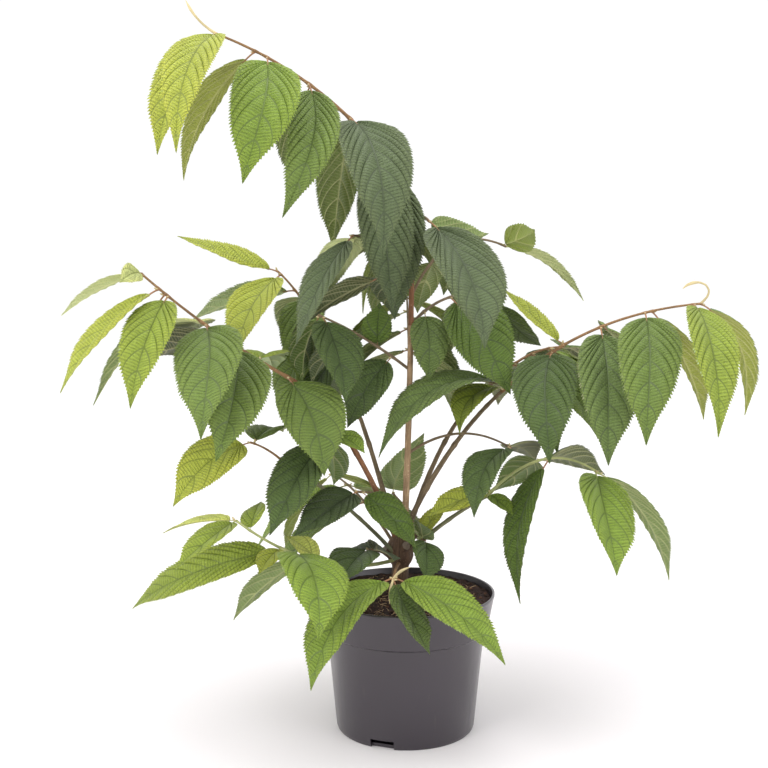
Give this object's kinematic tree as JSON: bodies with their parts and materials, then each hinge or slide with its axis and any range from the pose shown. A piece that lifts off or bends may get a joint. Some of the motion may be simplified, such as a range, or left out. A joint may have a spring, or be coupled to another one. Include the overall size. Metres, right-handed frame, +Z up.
{
  "type": "potted snowball viburnum",
  "caption": "Young snowball viburnum shrub with drooping pleated leaves, in a round dark nursery pot filled with soil.",
  "frame": {"origin": "centre of the pot's flat underside", "axes": "+Z up, -Y towards the front, the side the plant is seen from; +X to the viewer's right"},
  "size_m": [0.6153, 0.351, 0.6407],
  "materials": {
    "pot": "matte dark grey moulded plastic",
    "soil": "damp dark peat",
    "bark": "tan and reddish brown bark",
    "leaves": "satin green leaves with pleated side veins"
  },
  "bodies": {
    "root": {"pot": "pot", "soil": "soil", "crown_and_leader": "bark", "back_left_bough": "bark", "back_right_bough": "bark", "left_bough": "bark", "low_right_bough": "bark", "right_bough": "bark", "thin_left_bough": "bark", "back_left_spray": "leaves", "back_middle_spray": "leaves", "back_right_spray": "leaves", "back_top_spray": "leaves", "centre_spray": "leaves", "foot_left_spray": "leaves", "foot_right_spray": "leaves", "front_spray": "leaves", "left_foot_spray": "leaves", "left_middle_spray": "leaves", "left_spray": "leaves", "low_back_spray": "leaves", "low_left_spray": "leaves", "low_right_spray": "leaves", "middle_left_spray": "leaves", "middle_right_spray": "leaves", "right_spray": "leaves", "side_left_spray": "leaves", "thin_left_spray": "leaves", "thin_right_spray": "leaves", "top_left_spray": "leaves", "top_right_spray": "leaves", "upper_left_spray": "leaves", "upper_right_spray": "leaves"}
  },
  "joints": []
}
